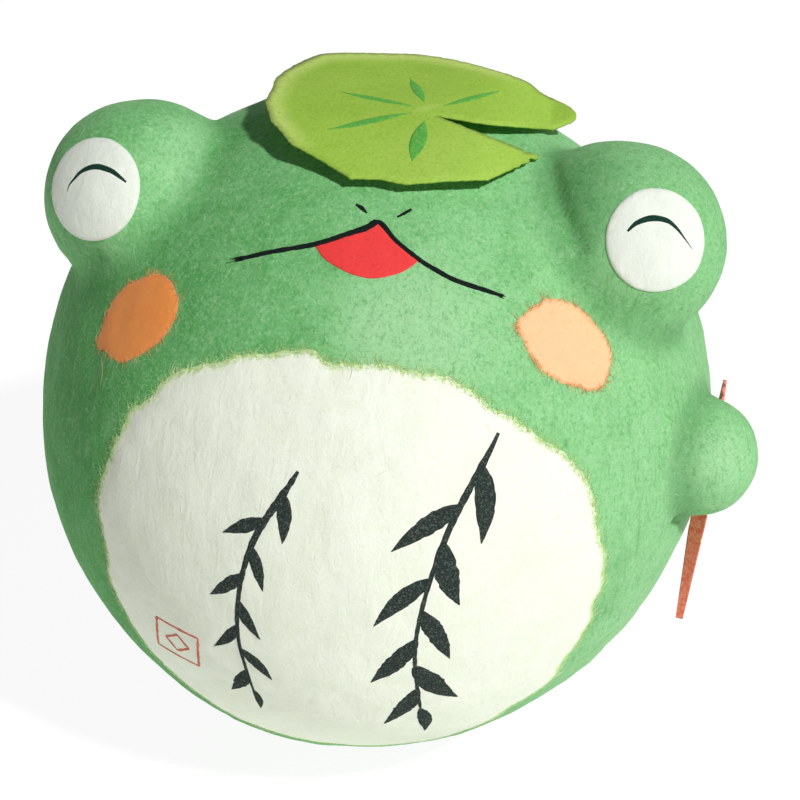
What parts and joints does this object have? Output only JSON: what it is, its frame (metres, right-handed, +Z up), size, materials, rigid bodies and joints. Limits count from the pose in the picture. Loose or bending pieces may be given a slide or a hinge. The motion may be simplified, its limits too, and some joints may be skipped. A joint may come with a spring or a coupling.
{
  "type": "paper frog ornament",
  "caption": "Round papier-mache frog ornament in torn green washi, with lump eyes, white belly, notched lotus leaf hat and one hand beside a pleated paper fan.",
  "frame": {"origin": "centre of the flat foot, on the surface that the frog stands on", "axes": "+Z up; the frog faces -Y; its left hand side, with the one hand, is +X"},
  "size_m": [0.0934, 0.0883, 0.0901],
  "materials": {
    "green_washi": "matte",
    "white_washi": "matte",
    "eye_washi": "matte",
    "orange_washi": "matte",
    "red_paper": "matte",
    "black_ink": "matte",
    "red_ink": "matte",
    "leaf_card": "matte",
    "leaf_ink": "matte",
    "fan_paper": "matte"
  },
  "bodies": {
    "root": {"body": "green_washi", "belly_patch": "white_washi", "left_eye_white": "eye_washi", "right_eye_white": "eye_washi", "left_cheek": "orange_washi", "right_cheek": "orange_washi", "mouth": "red_paper", "mouth_line": "black_ink", "nostrils": "black_ink", "left_eye_line": "black_ink", "right_eye_line": "black_ink", "belly_twigs": "black_ink", "belly_seal": "red_ink", "lotus_leaf": "leaf_card", "leaf_veins": "leaf_ink", "fan": "fan_paper"}
  },
  "joints": []
}
